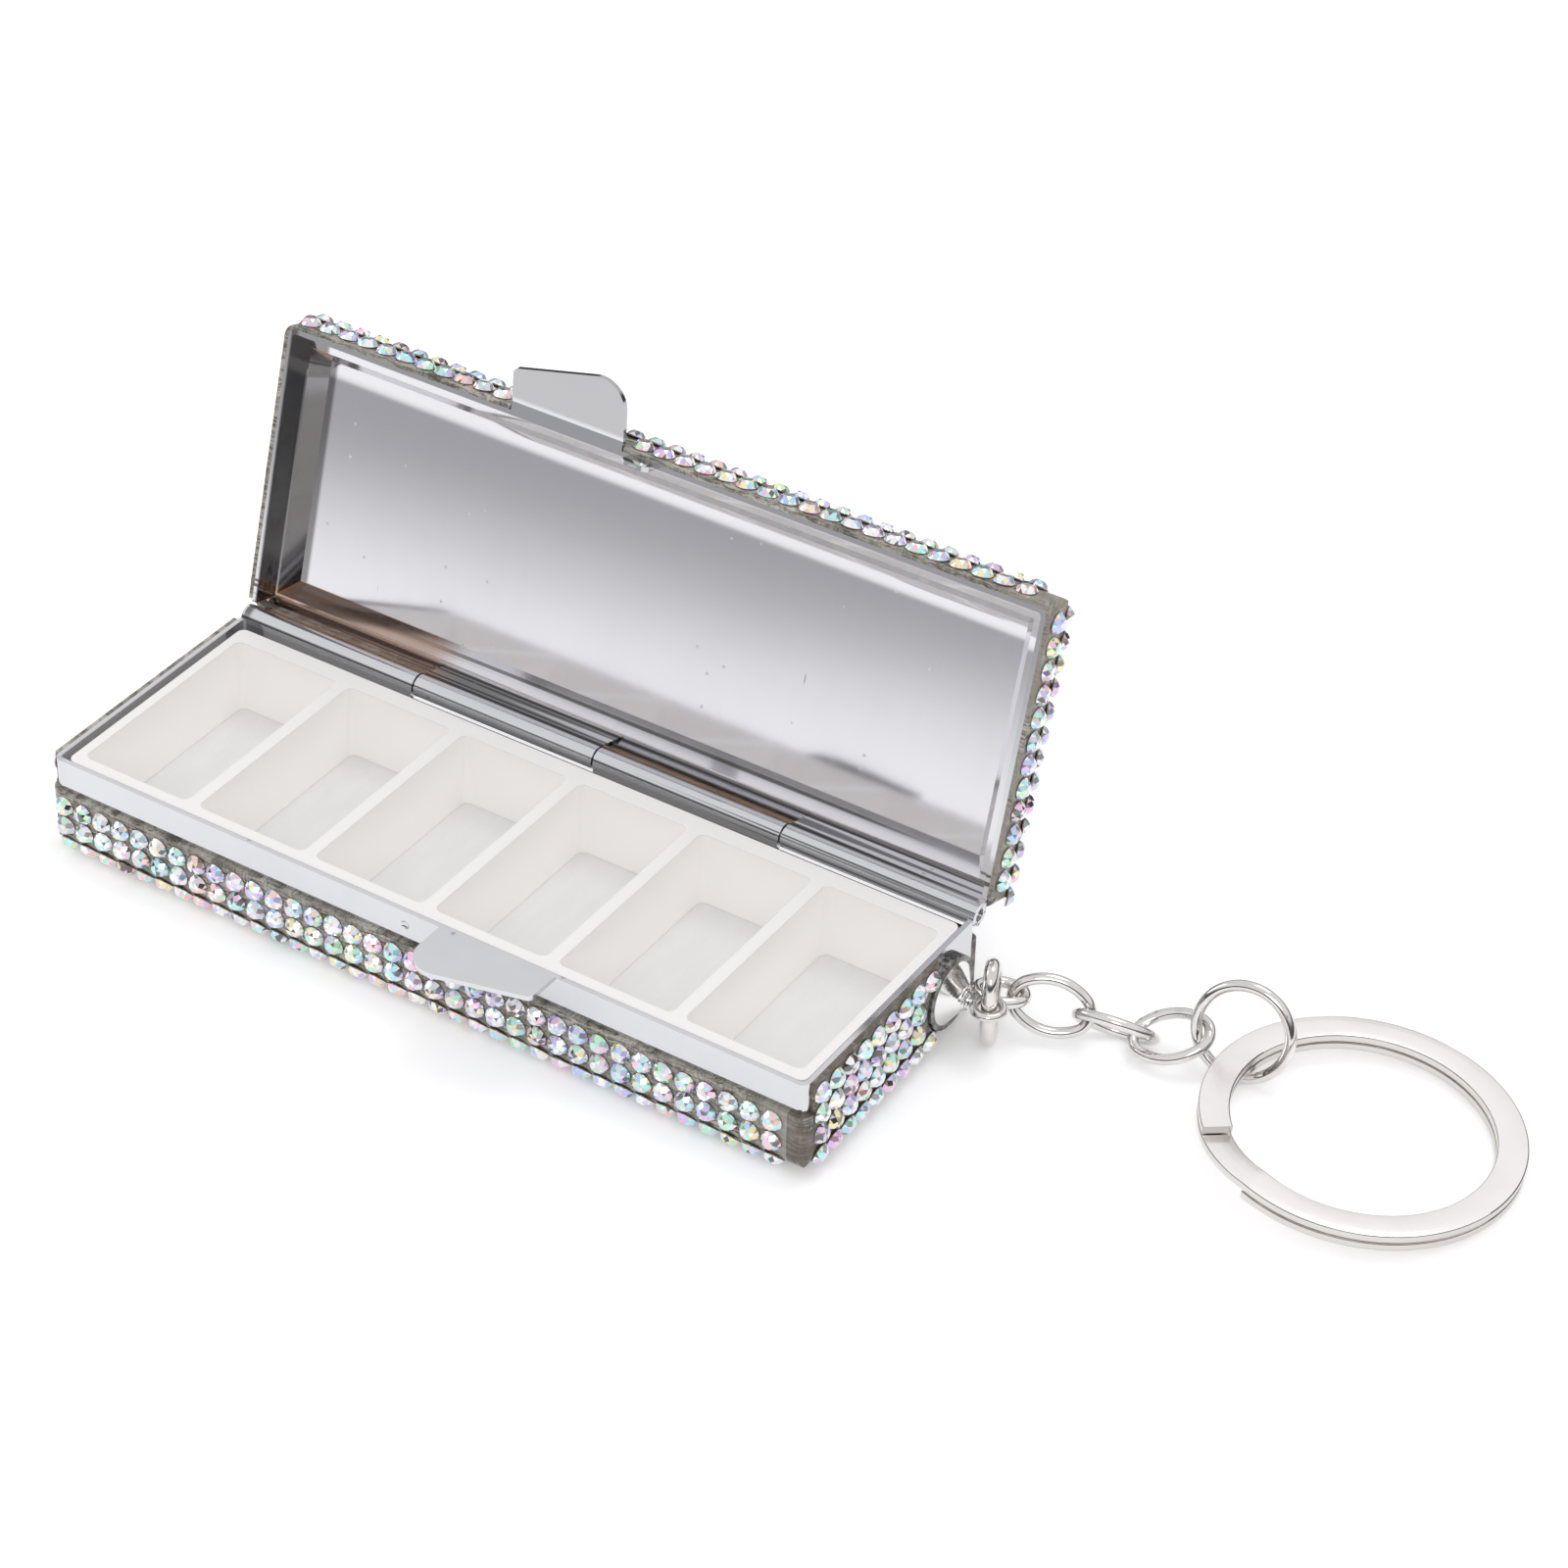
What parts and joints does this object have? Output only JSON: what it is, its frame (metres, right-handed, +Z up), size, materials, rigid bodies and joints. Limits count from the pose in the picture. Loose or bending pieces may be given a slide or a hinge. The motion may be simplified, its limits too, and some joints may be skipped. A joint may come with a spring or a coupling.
{
  "type": "pill fob keychain",
  "caption": "Hinged pill case with a white compartment insert and crystal mesh cladding, hung by a bell post and short chain from a flat split key ring.",
  "frame": {"origin": "middle of the case's underside, on the surface that the case rests on", "axes": "+X along the case towards the chain, +Y towards the hinge, +Z up"},
  "size_m": [0.1397, 0.0525, 0.0459],
  "materials": {
    "chrome_sheet": "polished chrome plate on pressed sheet, with fine scratches",
    "hinge_steel": "plain drawn wire",
    "insert_plastic": "satin warm white moulding",
    "mesh_backing": "grey-brown fibrous backing with a clear adhesive sheen",
    "crystal": "faceted stones with an iridescent coating",
    "mirror_plate": "polished plate with dust and hairline scratches",
    "post_metal": "turned and plated, with visible lathe grooves",
    "chain_wire": "bright nickel-plated wire",
    "ring_strip": "bright polished flat strip"
  },
  "bodies": {
    "base": {"base_shell": "chrome_sheet", "hinge_pin": "hinge_steel", "pill_insert": "insert_plastic", "base_mesh_front": "mesh_backing", "base_mesh_under": "mesh_backing", "base_mesh_back": "mesh_backing", "base_mesh_left": "mesh_backing", "base_mesh_right": "mesh_backing", "base_stones_front": "crystal", "base_stones_back": "crystal", "base_stones_left": "crystal", "base_stones_right": "crystal", "chain_post": "post_metal", "post_eye": "chain_wire"},
    "lid": {"lid_shell": "chrome_sheet", "lid_panel": "mirror_plate", "lid_mesh": "mesh_backing", "lid_mesh_left": "mesh_backing", "lid_mesh_right": "mesh_backing", "lid_stones_top": "crystal", "lid_stones_front": "crystal", "lid_stones_back": "crystal", "lid_stones_left": "crystal", "lid_stones_right": "crystal"},
    "post_ring": {"post_ring": "chain_wire"},
    "link_1": {"chain_link_1": "chain_wire"},
    "link_2": {"chain_link_2": "chain_wire"},
    "link_3": {"chain_link_3": "chain_wire"},
    "link_4": {"chain_link_4": "chain_wire"},
    "jump_ring": {"jump_ring": "chain_wire"},
    "key_ring": {"key_ring": "ring_strip"}
  },
  "joints": [
    {"name": "lid_hinge", "type": "hinge", "parent": "base", "child": "lid", "pos_m": [0, 0.01507, 0.0105], "axis": [1, 0, 0], "range_deg": [0, 106.4]},
    {"name": "ring_swing", "type": "hinge", "parent": "base", "child": "post_ring", "pos_m": [0.04707, 0.0093, 0.0056], "axis": [0, 0, 1], "range_deg": [-25, 0]},
    {"name": "link_1_swing", "type": "hinge", "parent": "post_ring", "child": "link_1", "pos_m": [0.04548, 0.01286, 0.00455], "axis": [0, 0, 1], "range_deg": [-22, 22]},
    {"name": "link_2_swing", "type": "hinge", "parent": "link_1", "child": "link_2", "pos_m": [0.04831, 0.014, 0.00434], "axis": [-0.3797, 0.9171, -0.1216], "range_deg": [-18, 18]},
    {"name": "link_3_swing", "type": "hinge", "parent": "link_2", "child": "link_3", "pos_m": [0.05391, 0.01614, 0.00297], "axis": [0.0457, 0.4188, 0.9069], "range_deg": [-15, 15]},
    {"name": "link_4_swing", "type": "hinge", "parent": "link_3", "child": "link_4", "pos_m": [0.05963, 0.01809, 0.00181], "axis": [-0.3519, 0.5865, -0.7295], "range_deg": [-18, 18]},
    {"name": "jump_ring_swing", "type": "hinge", "parent": "link_4", "child": "jump_ring", "pos_m": [0.06451, 0.01946, 0.00378], "axis": [-0.3606, 0.8742, 0.3253], "range_deg": [-12, 12]},
    {"name": "key_ring_swing", "type": "hinge", "parent": "jump_ring", "child": "key_ring", "pos_m": [0.0681, 0.02018, 0.00297], "axis": [0, 0, 1], "range_deg": [-18, 15]}
  ]
}
